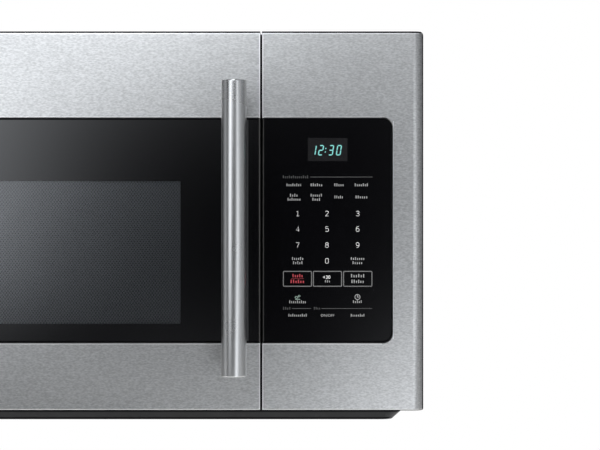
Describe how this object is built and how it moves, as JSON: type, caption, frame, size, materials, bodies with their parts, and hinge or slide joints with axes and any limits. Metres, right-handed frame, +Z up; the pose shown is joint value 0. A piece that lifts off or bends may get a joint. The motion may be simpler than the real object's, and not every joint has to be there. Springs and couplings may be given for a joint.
{
  "type": "over-the-range microwave oven",
  "caption": "Over-the-range microwave oven with a side-hinged glass door, tubular handle, touch control panel, turntable and exhaust fan.",
  "frame": {"origin": "middle of the wall plate's back face, 214 mm below the roof", "axes": "+X to the viewer's right, +Y into the wall, +Z up"},
  "size_m": [0.7606, 0.4537, 0.4341],
  "materials": {
    "stainless": "horizontal brushed grain",
    "handle_steel": "satin tube",
    "black_glass": "tinted tempered glass",
    "clear_window": "clear",
    "case_black": "black powder coat, fine texture",
    "base_grey": "dark grey powder coat",
    "galvanized": "zinc coated sheet",
    "cavity_enamel": "light enamel",
    "frame_enamel": "grey enamel",
    "screen_steel": "dark perforated sheet",
    "black_plastic": "fine moulded texture",
    "white_plastic": "moulded",
    "nylon": "moulded",
    "mica": "flecked sheet",
    "tray_glass": "clear tempered glass",
    "board_green": "solder mask",
    "core_steel": "varnished laminations",
    "can_aluminium": "satin can",
    "zinc_bracket": "zinc plate",
    "steel_screw": "plated",
    "filter_mesh": "layered mesh",
    "charcoal": "granular",
    "lens_glass": "frosted lens",
    "lamp": "bulb",
    "rubber": "moulded",
    "fan_plastic": "moulded",
    "display_dark": "dark lens"
  },
  "bodies": {
    "cabinet": {"wall_plate": "galvanized", "back_panel": "galvanized", "outer_wrap": "case_black", "base_plate": "base_grey", "case_screws": "steel_screw", "front_frame": "frame_enamel", "hinge_lower": "zinc_bracket", "hinge_upper": "zinc_bracket", "cavity": "cavity_enamel", "mica_cover": "mica", "turntable_motor": "zinc_bracket", "panel_skin": "stainless", "control_glass": "black_glass", "panel_frame": "black_plastic", "display_module": "display_dark", "control_board": "board_green", "latch_board": "white_plastic", "interlock_switches": "black_plastic", "bay_partition": "galvanized", "top_deck": "galvanized", "waveguide": "galvanized", "magnetron": "can_aluminium", "transformer": "core_steel", "capacitor": "can_aluminium", "fan_shroud": "galvanized", "cooling_fan_motor": "core_steel", "thermal_cutouts": "can_aluminium", "blower_housing": "galvanized", "blower_motor": "zinc_bracket", "damper_frame": "galvanized", "vent_grille": "black_plastic", "charcoal_filter": "charcoal", "cooktop_lamps": "lamp", "cavity_lamp": "lamp", "cord_bushing": "rubber"},
    "door": {"door_skin": "stainless", "door_glass": "black_glass", "door_frame": "black_plastic", "hinge_bushes": "nylon", "door_screen": "screen_steel", "choke_cover": "black_plastic", "inner_window": "clear_window", "handle_bar": "handle_steel", "handle_posts": "handle_steel", "handle_screws": "steel_screw"},
    "latch": {"latch_hooks": "white_plastic"},
    "turntable": {"drive_coupler": "nylon", "glass_tray": "tray_glass"},
    "roller_ring": {"roller_ring": "nylon"},
    "roller_1": {"roller_1": "nylon"},
    "roller_2": {"roller_2": "nylon"},
    "roller_3": {"roller_3": "nylon"},
    "plunger_lower": {"plunger_lower": "white_plastic"},
    "plunger_upper": {"plunger_upper": "white_plastic"},
    "cooling_fan": {"cooling_fan": "fan_plastic"},
    "blower_wheels": {"blower_wheels": "fan_plastic"},
    "damper_flap": {"damper_flap": "galvanized"},
    "lamp_cover": {"lamp_cover": "lens_glass"},
    "grease_filter_left": {"grease_filter_left": "filter_mesh"},
    "grease_filter_right": {"grease_filter_right": "filter_mesh"}
  },
  "joints": [
    {"name": "door_hinge", "type": "hinge", "parent": "cabinet", "child": "door", "pos_m": [-0.3675, -0.372, 0], "axis": [0, 0, -1], "range_deg": [0, 105]},
    {"name": "latch_lift", "type": "slide", "parent": "door", "child": "latch", "axis": [0, 0, 1], "range_m": [0, 0.006], "stiffness_N_per_m": 300, "springref_m": -0.003},
    {"name": "turntable_spin", "type": "hinge", "parent": "cabinet", "child": "turntable", "pos_m": [-0.0845, -0.181, -0.14], "axis": [0, 0, 1], "continuous": true},
    {"name": "roller_ring_spin", "type": "hinge", "parent": "cabinet", "child": "roller_ring", "pos_m": [-0.0845, -0.181, -0.1467], "axis": [0, 0, 1], "continuous": true},
    {"name": "roller_1_spin", "type": "hinge", "parent": "roller_ring", "child": "roller_1", "pos_m": [0.0195, -0.181, -0.1467], "axis": [1, 0, 0], "continuous": true},
    {"name": "roller_2_spin", "type": "hinge", "parent": "roller_ring", "child": "roller_2", "pos_m": [-0.1365, -0.09093, -0.1467], "axis": [-0.5, 0.866, 0], "continuous": true},
    {"name": "roller_3_spin", "type": "hinge", "parent": "roller_ring", "child": "roller_3", "pos_m": [-0.1365, -0.27107, -0.1467], "axis": [-0.5, -0.866, 0], "continuous": true},
    {"name": "plunger_lower_press", "type": "slide", "parent": "cabinet", "child": "plunger_lower", "axis": [0, 1, 0], "range_m": [0, 0.0015], "stiffness_N_per_m": 200, "springref_m": -0.0005},
    {"name": "plunger_upper_press", "type": "slide", "parent": "cabinet", "child": "plunger_upper", "axis": [0, 1, 0], "range_m": [0, 0.0015], "stiffness_N_per_m": 200, "springref_m": -0.0005},
    {"name": "cooling_fan_spin", "type": "hinge", "parent": "cabinet", "child": "cooling_fan", "pos_m": [0.262, -0.075, -0.04], "axis": [0, 1, 0], "continuous": true},
    {"name": "blower_spin", "type": "hinge", "parent": "cabinet", "child": "blower_wheels", "pos_m": [0, -0.066, 0.1492], "axis": [1, 0, 0], "continuous": true},
    {"name": "damper_hinge", "type": "hinge", "parent": "cabinet", "child": "damper_flap", "pos_m": [0, -0.028, 0.205], "axis": [-1, 0, 0], "range_deg": [0, 80]},
    {"name": "lamp_cover_hinge", "type": "hinge", "parent": "cabinet", "child": "lamp_cover", "pos_m": [0, -0.284, -0.2146], "axis": [1, 0, 0], "range_deg": [0, 80]},
    {"name": "grease_filter_left_drop", "type": "slide", "parent": "cabinet", "child": "grease_filter_left", "axis": [0, 0, -1], "range_m": [0, 0.03]},
    {"name": "grease_filter_right_drop", "type": "slide", "parent": "cabinet", "child": "grease_filter_right", "axis": [0, 0, -1], "range_m": [0, 0.03]}
  ],
  "couplings": [
    {"joint": "roller_ring_spin", "follows": "turntable_spin", "ratio": 0.5},
    {"joint": "roller_1_spin", "follows": "turntable_spin", "ratio": -6.5},
    {"joint": "roller_2_spin", "follows": "turntable_spin", "ratio": -6.5},
    {"joint": "roller_3_spin", "follows": "turntable_spin", "ratio": -6.5}
  ]
}
